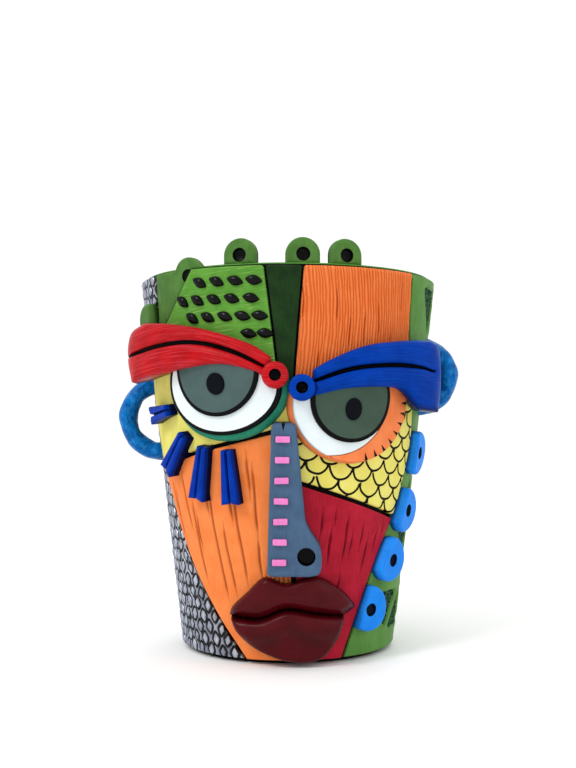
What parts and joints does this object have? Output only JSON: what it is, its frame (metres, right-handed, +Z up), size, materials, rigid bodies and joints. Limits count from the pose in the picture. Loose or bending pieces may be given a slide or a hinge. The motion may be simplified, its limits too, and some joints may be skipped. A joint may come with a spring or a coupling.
{
  "type": "head planter",
  "caption": "Tapered round planter dressed as an abstract patchwork face, with thick brows, stacked eyes, slab nose, full lips, ring ears, rim tabs and a drain plug.",
  "frame": {"origin": "centre of the foot ring's flat face, on the pot's axis, where the planter stands", "axes": "+Z up along the pot's axis, -Y the way the face looks, +X to the viewer's right"},
  "size_m": [0.1667, 0.1517, 0.1899],
  "materials": {
    "resin_pewter": "satin",
    "resin_leaf_green": "satin",
    "resin_side_green": "satin",
    "resin_orange": "satin",
    "resin_yellow": "satin",
    "resin_crimson": "satin",
    "resin_red": "gloss",
    "resin_blue": "gloss",
    "resin_sky_blue": "gloss",
    "resin_ear_blue": "gloss",
    "resin_teal": "gloss",
    "resin_white": "gloss",
    "resin_iris_grey": "matte",
    "resin_pupil_black": "gloss",
    "resin_slate": "satin",
    "resin_pink": "gloss",
    "resin_maroon": "gloss",
    "plug_rubber": "matte"
  },
  "bodies": {
    "planter": {"pot_core": "resin_side_green", "side_wrap_left": "resin_pewter", "side_wrap_right": "resin_side_green", "temple_backing": "resin_leaf_green", "forehead_panel_left": "resin_leaf_green", "forehead_panel_right": "resin_orange", "forehead_wedge": "resin_leaf_green", "forehead_seeds": "resin_pupil_black", "temple_panel_left": "resin_yellow", "temple_panel_right": "resin_yellow", "cheek_panel_left": "resin_orange", "cheek_panel_right": "resin_crimson", "temple_tab": "resin_leaf_green", "rim_tab_1": "resin_leaf_green", "rim_tab_2": "resin_leaf_green", "rim_tab_3": "resin_leaf_green", "jaw_tab_1": "resin_sky_blue", "jaw_tab_2": "resin_sky_blue", "jaw_tab_3": "resin_sky_blue", "jaw_tab_4": "resin_sky_blue", "ear_left": "resin_ear_blue", "ear_right": "resin_ear_blue", "eye_lid_left": "resin_teal", "eye_lid_right": "resin_orange", "eye_white_left": "resin_white", "eye_white_right": "resin_white", "eye_crescent_right": "resin_orange", "eye_iris_left": "resin_iris_grey", "eye_iris_right": "resin_iris_grey", "eye_pupil_left": "resin_pupil_black", "eye_pupil_right": "resin_pupil_black", "brow_left": "resin_red", "brow_button_left": "resin_red", "brow_right": "resin_blue", "brow_button_right": "resin_blue", "lash_1": "resin_blue", "lash_2": "resin_blue", "lash_3": "resin_blue", "lash_4": "resin_blue", "nose_slab": "resin_slate", "nose_bars": "resin_pink", "lip_upper": "resin_maroon", "lip_lower": "resin_maroon"},
    "plug": {"drain_plug": "plug_rubber"}
  },
  "joints": [
    {"name": "plug_pull", "type": "slide", "parent": "planter", "child": "plug", "axis": [0, 0, -1], "range_m": [0, 0.03]}
  ]
}
